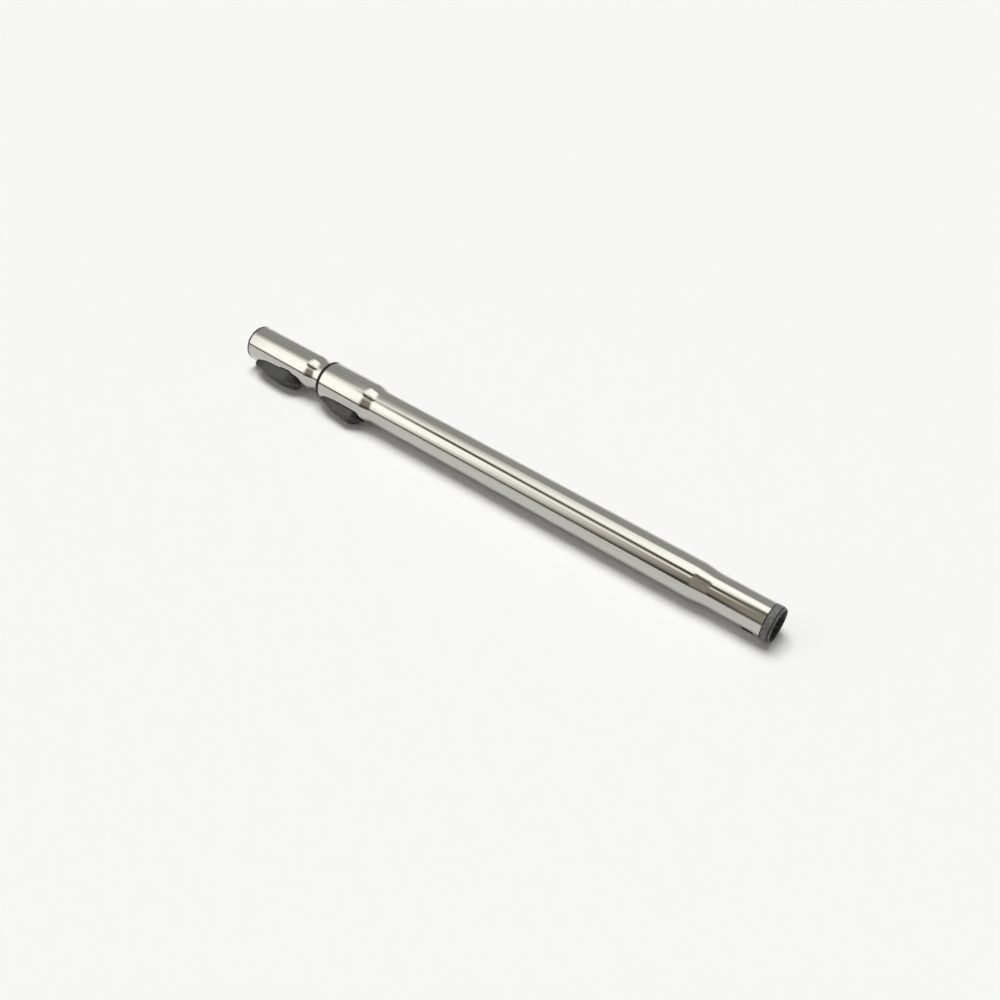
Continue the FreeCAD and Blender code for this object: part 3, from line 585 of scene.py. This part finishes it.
INNER_BORE_CORNERS = [
    (SOCKET_END, SOCKET_RADIUS - STEEL_WALL, STEEL_EDGE),
    (SOCKET_START, SOCKET_RADIUS - STEEL_WALL, SHOULDER_SOFTNESS),
    (NECK_END, INNER_RADIUS - STEEL_WALL, SHOULDER_SOFTNESS),
    (INNER_START, INNER_RADIUS - STEEL_WALL, END_LIP_EDGE),
]


def tool_slot():
    half = SLOT_WIDTH / 2
    end = SLOT_START + SLOT_LENGTH
    corners = [(SLOT_START, -half), (end, -half), (end, half), (SLOT_START, half)]
    return prism(rounded([(x, z, SLOT_CORNER) for x, z in corners]), "Y", 0, REACH)


def make_outer_tube():
    bore = [(x, radius - STEEL_WALL, rounding) for x, radius, rounding in reversed(OUTER_CORNERS)]
    tube = turned_ring(rounded(OUTER_CORNERS + bore))
    cut(tube, tool_slot())
    return cut(tube, release_window())


def groove_channel(grow, top):
    """The lengthwise groove, or with some growth the wall that is pressed in around it."""
    start = KEY_START - TRAVEL - GROOVE_RUN_OUT - GROOVE_RAMP - grow
    end = KEY_END + GROOVE_RUN_OUT + GROOVE_RAMP + grow
    floor = GROOVE_FLOOR - grow
    ramp = GROOVE_RAMP * (GROOVE_TOP - top) / (GROOVE_TOP - floor)
    section = [
        (start + ramp, top), (start + GROOVE_RAMP, floor), (end - GROOVE_RAMP, floor), (end - ramp, top)]
    half = GROOVE_WIDTH / 2 + grow
    return prism(section, "Z", -half, half)


def groove_pockets(grow):
    """The cross pockets, one for each step of the travel."""
    floor = GROOVE_FLOOR - grow
    half = POCKET_LENGTH / 2 + grow
    half_floor = half - POCKET_SLOPE
    half_width = POCKET_WIDTH / 2 + grow
    pockets = []
    for step in range(TRAVEL_STEPS + 1):
        x = BLADE_X - step * TRAVEL / TRAVEL_STEPS
        section = [
            (x - half, floor + GROOVE_OVERLAP / 2), (x - half, floor), (x - half_floor, floor - POCKET_DEPTH),
            (x + half_floor, floor - POCKET_DEPTH), (x + half, floor), (x + half, floor + GROOVE_OVERLAP / 2)]
        pockets.append(prism(section, "Z", -half_width, half_width))
    return joined(pockets)


def make_inner_tube():
    """The sliding tube and its wide end, with the groove pressed into the wall and holes for two pegs."""
    tube = turned_ring(rounded(INNER_CORNERS + INNER_BORE_CORNERS))
    fuse(tube, groove_channel(STEEL_WALL, GROOVE_FLOOR - STEEL_WALL + GROOVE_OVERLAP))
    fuse(tube, groove_pockets(STEEL_WALL))
    cut(tube, groove_channel(0, GROOVE_TOP))
    cut(tube, groove_pockets(0))
    half = PEG_HOLE / 2
    cut(tube, block(PEG_STATION - half, PEG_STATION + half, -REACH, REACH, -half, half))
    return cut(tube, handle_window())


def make_tool_ring():
    lip_start = RING_FRONT + RING_LIP_WIDTH
    groove_end = lip_start + RING_GROOVE_WIDTH
    ring = turned_ring(rounded([
        (RING_SLEEVE_END, RING_BORE, RING_EDGE),
        (RING_SLEEVE_END, RING_SLEEVE, RING_EDGE),
        (-RING_GAP_WIDTH, RING_SLEEVE, 0),
        (-RING_GAP_WIDTH, RING_BAND, RING_EDGE),
        (groove_end, RING_BAND, RING_EDGE),
        (groove_end, RING_GROOVE, 0),
        (lip_start, RING_GROOVE, 0),
        (lip_start, RING_LIP, RING_EDGE),
        (RING_FRONT, RING_LIP - RING_LIP_TAPER, RING_EDGE),
        (RING_FRONT, RING_BORE, RING_EDGE),
    ]))
    return cut(ring, tool_slot())


def make_guide_bush():
    bush = turned_ring(rounded([
        (BUSH_STOP, BUSH_BORE, 0),
        (BUSH_STOP, BUSH_STOP_RADIUS, 0),
        (BUSH_START, BUSH_STOP_RADIUS, 0),
        (BUSH_START, BUSH_OUTSIDE, 0),
        (HEAD_END, BUSH_OUTSIDE, 0),
        (HEAD_END, HEAD_RADIUS, COLLAR_EDGE / 2),
        (COLLAR_FACE, HEAD_RADIUS, COLLAR_EDGE),
        (COLLAR_FACE, BUSH_BORE, COLLAR_EDGE),
    ]))
    start = BUSH_START + BUSH_RECESS_MARGIN
    end = HEAD_END - BUSH_RECESS_MARGIN
    recess = turned_ring([(start, BUSH_RECESS), (start, HEAD_RADIUS), (end, HEAD_RADIUS), (end, BUSH_RECESS)])
    cut(bush, common(recess, block(start - 1, end + 1, -REACH, -BUSH_RECESS_EDGE, -REACH, REACH)))
    key_half = GROOVE_WIDTH / 2 - KEY_CLEARANCE
    fuse(bush, block(KEY_START, KEY_END, GROOVE_FLOOR + KEY_CLEARANCE, BUSH_POCKET, -key_half, key_half))
    cut(bush, cut(release_window(), bar(BUSH_START, COLLAR_FACE, BUSH_POCKET)))
    half = BLADE_HALF + BLADE_ROOM
    cut(bush, block(
        BLADE_X - half, BLADE_X + half + BLADE_SWING, 0, REACH, -GROOVE_WIDTH / 2, GROOVE_WIDTH / 2))
    for pad in RELEASE.pads(BUSH_POCKET, BUSH_POCKET):
        fuse(bush, pad)
    return bush


def make_socket_liner():
    liner = turned_ring(rounded([
        (LINER_START, LINER_DUCT, 0),
        (LINER_START, LINER_OUTSIDE, 0),
        (SOCKET_END, LINER_OUTSIDE, 0),
        (SOCKET_END, SOCKET_RADIUS, RIM_EDGE / 2),
        (SOCKET_MOUTH, SOCKET_RADIUS, RIM_EDGE),
        (SOCKET_MOUTH, LINER_ENTRY + LINER_LEAD_IN, RIM_EDGE),
        (SOCKET_MOUTH - LINER_LEAD_IN, LINER_ENTRY, RIM_EDGE),
        (LINER_STEP, LINER_ENTRY, 0),
        (LINER_STEP, LINER_SEAT, 0),
        (LINER_LEDGE, LINER_SEAT, 0),
        (LINER_LEDGE, LINER_DUCT, 0),
    ]))
    floor_step = LINER_LEDGE - LINER_FLOOR
    pocket = cut(handle_window(), bar(LINER_START - REACH, floor_step, LINER_DUCT + LINER_FLOOR))
    cut(liner, cut(pocket, bar(floor_step, SOCKET_MOUTH, LINER_SEAT + LINER_FLOOR)))
    half_width = TOOTH_HALF_WIDTH + TOOTH_ROOM
    cut(liner, block(TOOTH_X - TOOTH_HALF - TOOTH_ROOM, TOOTH_SLOT_END, 0, REACH, -half_width, half_width))
    for pad in HANDLE.pads(LINER_DUCT + LINER_FLOOR, LINER_SEAT + LINER_FLOOR):
        fuse(liner, pad)
    return liner


def make_release_lever():
    low = RELEASE.y - BLADE_HOLDER_DEPTH
    half = BLADE_HALF + BLADE_HOLDER_WALL
    half_width = BLADE_HALF_WIDTH + BLADE_HOLDER_WALL
    holder = block(BLADE_X - half, BLADE_X + half, low, RELEASE.high, -half_width, half_width)
    room = BLADE_HALF + SEAT_CLEARANCE
    side_room = BLADE_HALF_WIDTH + SEAT_CLEARANCE
    slot = block(
        BLADE_X - room, BLADE_X + room, low - 1, low + BLADE_SEAT + SEAT_CLEARANCE, -side_room, side_room)
    stations = rounded(OUTER_CORNERS, closed=False)
    return RELEASE.moulding(stations, BUSH_POCKET, [holder], [slot])


def make_handle_latch():
    start = TOOTH_X - TOOTH_HALF
    end = TOOTH_X + TOOTH_HALF
    tooth = prism([
        (start, HANDLE.high), (start, TOOTH_TIP), (end - TOOTH_LEAD_IN, TOOTH_TIP),
        (end, TOOTH_TIP + TOOTH_LEAD_IN), (end, HANDLE.high),
    ], "Z", -TOOTH_HALF_WIDTH, TOOTH_HALF_WIDTH)
    stations = rounded(INNER_CORNERS[3:], closed=False)
    return HANDLE.moulding(stations, LINER_DUCT + LINER_FLOOR, [tooth], [])


# Materials: scales of noise per metre, depths and distances in metres
FINE_LINES = (9.0, 3200.0, 3200.0)
WIDE_LINES = (4.0, 620.0, 620.0)
CLOUDS = (30.0, 90.0, 90.0)
LINE_DEPTH = 0.00002
LINE_STRENGTH = 0.25
STREAK_DARK = 0.86
STREAK_LIGHT = 1.08
PATCHES = (380.0, 380.0, 380.0)
GRAIN_DEPTH = 0.00004
GRAIN_STRENGTH = 0.15
GLOSS_SPREAD = 0.07
PLASTIC_IOR = 1.45
WEAR_RADIUS = 0.0006
WORN_SHADE = 2.2
# Painted shade in grooves and bores: how far the occlusion looks, and how dark the painted shade gets
CREVICE_REACH = 0.004
GROOVE_PAINTED_SHADE = 0.08


def add(tree, kind, settings=None, **inputs):
    """A new node with its settings, and its inputs set or linked by name, with _ for a space."""
    made = tree.nodes.new(kind)
    for name, value in (settings or {}).items():
        setattr(made, name, value)
    for name, value in inputs.items():
        connect(tree, made.inputs[name.replace("_", " ")], value)
    return made


def connect(tree, socket, value):
    if isinstance(value, bpy.types.NodeSocket):
        tree.links.new(value, socket)
    else:
        socket.default_value = value


def calc(tree, operation, *values, clamp=False):
    made = add(tree, "ShaderNodeMath", {"operation": operation, "use_clamp": clamp})
    for socket, value in zip(made.inputs, values):
        connect(tree, socket, value)
    return made.outputs[0]


def spread(tree, value, low, high, to_low, to_high):
    made = add(
        tree, "ShaderNodeMapRange", Value=value, From_Min=low, From_Max=high, To_Min=to_low, To_Max=to_high)
    return made.outputs["Result"]


def colour_mix(tree, factor, one, other):
    made = add(tree, "ShaderNodeMix", {"data_type": "RGBA"})
    connect(tree, made.inputs[0], factor)
    connect(tree, made.inputs[6], one)
    connect(tree, made.inputs[7], other)
    return made.outputs[2]


def noise(tree, stretch, detail=4.0, roughness=0.55):
    """Noise in the object's own space, with a scale for each axis per metre."""
    place = add(tree, "ShaderNodeTexCoord").outputs["Object"]
    scaled = add(tree, "ShaderNodeVectorMath", {"operation": "MULTIPLY"})
    connect(tree, scaled.inputs[0], place)
    connect(tree, scaled.inputs[1], stretch)
    made = add(
        tree, "ShaderNodeTexNoise", Vector=scaled.outputs[0], Scale=1.0, Detail=detail, Roughness=roughness)
    return made.outputs["Fac"]


def edge_wear(tree):
    """1 where the surface bends sharply, 0 on flat stretches."""
    bevelled = add(tree, "ShaderNodeBevel", {"samples": 6}, Radius=WEAR_RADIUS).outputs["Normal"]
    plain = add(tree, "ShaderNodeNewGeometry").outputs["True Normal"]
    dot = add(tree, "ShaderNodeVectorMath", {"operation": "DOT_PRODUCT"})
    connect(tree, dot.inputs[0], bevelled)
    connect(tree, dot.inputs[1], plain)
    return spread(tree, dot.outputs["Value"], 0.995, 0.90, 0.0, 1.0)


def shade(colour, factor):
    return tuple(channel * factor for channel in colour) + (1.0,)


def new_material(name):
    made = bpy.data.materials.new(name)
    made.use_nodes = True
    made.node_tree.nodes.clear()
    return made, made.node_tree


def crevice_shade_mask(tree):
    """Mask for painted shade, from ambient occlusion: 0 deep in a groove or a bore, 1 in the open."""
    made = add(tree, "ShaderNodeAmbientOcclusion", {"samples": 8}, Distance=CREVICE_REACH)
    return spread(tree, made.outputs["AO"], 0.55, 0.92, 0.0, 1.0)


def finish_material(tree, bump_height, bump_distance, bump_strength, **inputs):
    bump = add(tree, "ShaderNodeBump", Strength=bump_strength, Distance=bump_distance, Height=bump_height)
    surface = add(tree, "ShaderNodeBsdfPrincipled", Normal=bump.outputs["Normal"], **inputs)
    output = add(tree, "ShaderNodeOutputMaterial")
    tree.links.new(surface.outputs["BSDF"], output.inputs["Surface"])


def drawn_steel(name, colour, smooth, rough):
    """Drawn steel with fine lines along the tube and a slightly cloudy polish."""
    material, tree = new_material(name)
    fine = noise(tree, FINE_LINES, detail=3.0)
    lines = noise(tree, WIDE_LINES, detail=5.0)
    clouds = noise(tree, CLOUDS, detail=3.0)
    streak = calc(tree, "ADD", calc(tree, "MULTIPLY", fine, 0.55), calc(tree, "MULTIPLY", lines, 0.45))
    tint = spread(tree, streak, 0.32, 0.68, 0.0, 1.0)
    base = colour_mix(tree, tint, shade(colour, STREAK_DARK), shade(colour, STREAK_LIGHT))
    haze = calc(tree, "ADD", calc(tree, "MULTIPLY", streak, 0.7), calc(tree, "MULTIPLY", clouds, 0.3))
    finish_material(
        tree, streak, LINE_DEPTH, LINE_STRENGTH, Base_Color=base, Metallic=1.0,
        Roughness=spread(tree, haze, 0.3, 0.7, smooth, rough))
    return material


def moulded_plastic(name, colour, roughness, gloss, grain, mottle, wear, shaded_grooves=False):
    """Moulded plastic with a fine grain, uneven gloss, edges rubbed lighter and, where asked, painted shade
    darkening its grooves and bore.
    """
    material, tree = new_material(name)
    fine = noise(tree, (grain, grain, grain), detail=2.0)
    patches = noise(tree, PATCHES, detail=5.0, roughness=0.65)
    cloudy = spread(tree, patches, 0.3, 0.7, 0.0, 1.0)
    base = colour_mix(tree, cloudy, shade(colour, 1.0 - mottle), shade(colour, 1.0 + mottle))
    worn = calc(tree, "MULTIPLY", edge_wear(tree), calc(tree, "MULTIPLY", patches, wear), clamp=True)
    base = colour_mix(tree, worn, base, shade(colour, WORN_SHADE))
    if shaded_grooves:
        # Painted shade: grooves, gaps and bores are darkened where ambient occlusion finds them enclosed
        base = colour_mix(tree, crevice_shade_mask(tree), shade(colour, GROOVE_PAINTED_SHADE), base)
    uneven = spread(tree, patches, 0.3, 0.7, roughness - GLOSS_SPREAD, roughness + GLOSS_SPREAD)
    finish_material(
        tree, fine, GRAIN_DEPTH, GRAIN_STRENGTH, Base_Color=base, Metallic=0.0, IOR=PLASTIC_IOR,
        Specular_IOR_Level=gloss, Roughness=uneven)
    return material


STEEL = drawn_steel("stainless_steel", (0.52, 0.51, 0.48), 0.05, 0.15)
SPRING_STEEL = drawn_steel("spring_steel", (0.45, 0.45, 0.46), 0.22, 0.38)
# The grey ring gets painted shade in its grooves, the gap at the steel and its mouth
GREY_PLASTIC = moulded_plastic("grey_plastic", (0.15, 0.15, 0.15), 0.45, 0.35, 5200.0, 0.60, 1.0, shaded_grooves=True)
BLACK_PLASTIC = moulded_plastic("black_plastic", (0.014, 0.014, 0.013), 0.42, 0.25, 6000.0, 0.20, 0.4)
LEVER_PLASTIC = moulded_plastic("lever_plastic", (0.042, 0.042, 0.039), 0.32, 0.5, 6500.0, 0.12, 0.5)
INNER_PLASTIC = moulded_plastic("inner_plastic", (0.50, 0.50, 0.48), 0.45, 0.4, 5000.0, 0.06, 0.2)
SEAL_RUBBER = moulded_plastic("seal_rubber", (0.02, 0.02, 0.02), 0.62, 0.3, 4200.0, 0.15, 0.1)

# The pieces that stand for solids
place_piece(
    make_outer_tube(), "outer_tube_steel", "outer", ["outer_tube", "head_tube"], STEEL)
place_piece(make_tool_ring(), "tool_ring_moulding", "outer", ["tool_end_ring"], GREY_PLASTIC)
place_piece(make_guide_bush(), "guide_bush_moulding", "outer", ["guide_bush"], BLACK_PLASTIC)
place_piece(
    make_release_lever(), "release_lever_moulding", "release", ["release_lever"],
    LEVER_PLASTIC, weigh_normals=True)
place_piece(
    make_inner_tube(), "inner_tube_steel", "inner", ["inner_tube", "socket_tube"], STEEL)
place_piece(
    make_socket_liner(), "socket_liner_moulding", "inner", ["handle_socket_liner"],
    BLACK_PLASTIC)
place_piece(
    make_handle_latch(), "handle_latch_moulding", "latch", ["handle_latch"],
    LEVER_PLASTIC, weigh_normals=True)

# The finish of the solids that stay
NODE_FINISH = {
    "stainless_steel": STEEL,
    "spring_steel": SPRING_STEEL,
    "grey_plastic": GREY_PLASTIC,
    "black_plastic": BLACK_PLASTIC,
    "lever_plastic": LEVER_PLASTIC,
    "inner_plastic": INNER_PLASTIC,
    "seal_rubber": SEAL_RUBBER,
}
for subpart in frame["record"]["subparts"]:
    for material_slot in frame["nodes"][subpart["node"]].material_slots:
        material_slot.material = NODE_FINISH[subpart["material_slot"]]

# Floor, under the head and the near end of the main run
FLOOR_SIZE = 8.0
FLOOR_COLOUR = (0.94, 0.94, 0.935, 1.0)
FLOOR_GLOW = 0.05
FLOOR_ROUGHNESS = 0.9
FLOOR_GLOSS = 0.1
FLOOR_GAP = 0.0001


def make_floor():
    low = Vector((SWAGE_END, 0, -MAIN_RADIUS)) * MM
    high = Vector((HEAD_START, 0, -HEAD_RADIUS)) * MM
    bm = bmesh.new()
    bmesh.ops.create_grid(bm, x_segments=1, y_segments=1, size=FLOOR_SIZE / 2)
    floor = mesh_object(bm)
    floor.name = "floor"
    tilt = math.atan2(low.z - high.z, high.x - low.x)
    floor.rotation_euler = (0, tilt, 0)
    floor.location = high - Vector((0, 0, FLOOR_GAP))
    material, tree = new_material("floor")
    path = add(tree, "ShaderNodeLightPath")
    seen = calc(tree, "MAXIMUM", path.outputs["Is Camera Ray"], path.outputs["Is Glossy Ray"])
    surface = add(
        tree, "ShaderNodeBsdfPrincipled", Base_Color=FLOOR_COLOUR, Roughness=FLOOR_ROUGHNESS,
        Specular_IOR_Level=FLOOR_GLOSS, Emission_Color=(1.0, 1.0, 1.0, 1.0),
        Emission_Strength=calc(tree, "MULTIPLY", seen, FLOOR_GLOW))
    output = add(tree, "ShaderNodeOutputMaterial")
    tree.links.new(surface.outputs["BSDF"], output.inputs["Surface"])
    floor.data.materials.append(material)


make_floor()


# World: a striped studio, a long white ceiling and a white front wall with narrow dark gaps between them
WHITE = (1.0, 1.0, 0.95)
CREAM = (0.72, 0.68, 0.58)
WARM = (0.50, 0.48, 0.43)
BEIGE = (0.80, 0.79, 0.74)
DULL = (0.57, 0.56, 0.53)
GREY = (0.25, 0.25, 0.24)
TAN = (0.215, 0.20, 0.17)
BROWN = (0.18, 0.165, 0.14)
DARK = (0.10, 0.095, 0.08)
BLACK = (0.035, 0.03, 0.024)
SHOULDER_STOPS = [
    (0, DARK), (9, DARK), (16, TAN), (60, TAN), (69, DARK), (77, DARK), (86, WHITE), (112, WHITE),
    (122, GREY), (180, GREY)]
TOOL_STOPS = [
    (0, BLACK), (15, BLACK), (21, BROWN), (45, BROWN), (48, CREAM), (55, CREAM), (58, BLACK), (70, BLACK),
    (75, WHITE), (116, WHITE), (122, GREY), (180, GREY)]
MIDDLE_STOPS = [
    (0, DARK), (7, DARK), (13, WARM), (26, BEIGE), (34, WHITE), (60, WHITE), (65, BLACK), (75, BLACK),
    (80, BEIGE), (90, BEIGE), (100, DULL), (122, GREY), (180, GREY)]
HEAD_STOPS = [(0, DARK), (7, DARK), (12, WHITE), (66, WHITE), (87, WARM), (98, GREY), (180, GREY)]
STRIPES = [(0.11, SHOULDER_STOPS), (0.25, TOOL_STOPS), (0.50, MIDDLE_STOPS), (0.60, HEAD_STOPS)]
GLOSSY_STRENGTH = 1.95
DIFFUSE_STRENGTH = 0.80
DIM_LEAST = 0.12
DIM_TOOL_SIDE = (-0.45, 0.05)
DIM_HANDLE_SIDE = (0.90, 0.70)


def world_ramp(tree, angle, stops):
    """Brightness by the angle about the wand's axis, from the near horizon at 0 to the far one at 180."""
    made = add(tree, "ShaderNodeValToRGB")
    connect(tree, made.inputs["Fac"], angle)
    elements = made.color_ramp.elements
    while len(elements) < len(stops):
        elements.new(0.5)
    for element, (degrees, colour) in zip(elements, stops):
        element.position = degrees / 180.0
        element.color = colour + (1.0,)
    return made.outputs["Color"]


def make_world():
    world = bpy.data.worlds.new("studio")
    bpy.context.scene.world = world
    world.use_nodes = True
    tree = world.node_tree
    tree.nodes.clear()
    direction = add(tree, "ShaderNodeTexCoord").outputs["Generated"]
    parts = add(tree, "ShaderNodeSeparateXYZ", Vector=direction)
    x, y, z = parts.outputs
    angle = calc(tree, "DIVIDE", calc(tree, "ARCTAN2", z, y), math.pi)
    before, stops = STRIPES[0]
    colour = world_ramp(tree, angle, stops)
    for along, stops in STRIPES[1:]:
        share = spread(tree, x, before, along, 0.0, 1.0)
        colour = colour_mix(tree, share, colour, world_ramp(tree, angle, stops))
        before = along
    path = add(tree, "ShaderNodeLightPath")
    strength = spread(tree, path.outputs["Is Diffuse Ray"], 0.0, 1.0, GLOSSY_STRENGTH, DIFFUSE_STRENGTH)
    for low, high in (DIM_TOOL_SIDE, DIM_HANDLE_SIDE):
        strength = calc(tree, "MULTIPLY", strength, spread(tree, x, low, high, DIM_LEAST, 1.0))
    lit = add(tree, "ShaderNodeBackground", Color=colour, Strength=strength)
    seen = add(tree, "ShaderNodeBackground", Color=(1.0, 1.0, 1.0, 1.0), Strength=1.0)
    mixed = add(tree, "ShaderNodeMixShader", Fac=path.outputs["Is Camera Ray"])
    tree.links.new(lit.outputs[0], mixed.inputs[1])
    tree.links.new(seen.outputs[0], mixed.inputs[2])
    output = add(tree, "ShaderNodeOutputWorld")
    tree.links.new(mixed.outputs[0], output.inputs["Surface"])


make_world()

# Soft lamp, above and a little behind the wand, that draws its shadow towards the viewer
LAMP_BEHIND = math.tan(math.radians(9.0))
LAMP_ALONG = math.tan(math.radians(14.0))
LAMP_ANGLE = math.radians(36.0)
LAMP_STRENGTH = 2.25


def make_lamp():
    data = bpy.data.lights.new("lamp", "SUN")
    data.energy = LAMP_STRENGTH
    data.angle = LAMP_ANGLE
    lamp = bpy.data.objects.new("lamp", data)
    bpy.context.scene.collection.objects.link(lamp)
    lamp.rotation_euler = Vector((LAMP_ALONG, -LAMP_BEHIND, 1.0)).to_track_quat("Z", "Y").to_euler()
    lamp.visible_glossy = False


make_lamp()

# Camera, at the photograph's viewing angle
CAMERA_PLACE = Vector((-0.1801, 0.6519, 0.6814))
CAMERA_AIM = Vector((0.2762, 0.0311, 0.0))
CAMERA_ROLL = math.radians(3.33)
CAMERA_LENS = 38.03
CAMERA_SENSOR = 36.0


def make_camera():
    data = bpy.data.cameras.new("camera")
    data.lens = CAMERA_LENS
    data.sensor_width = CAMERA_SENSOR
    camera = bpy.data.objects.new("camera", data)
    bpy.context.scene.collection.objects.link(camera)
    look = (CAMERA_AIM - CAMERA_PLACE).to_track_quat("-Z", "Y").to_matrix().to_4x4()
    camera.matrix_world = Matrix.Translation(CAMERA_PLACE) @ look @ Matrix.Rotation(CAMERA_ROLL, 4, "Z")
    bpy.context.scene.camera = camera


make_camera()
bpy.context.scene.view_settings.view_transform = "Standard"
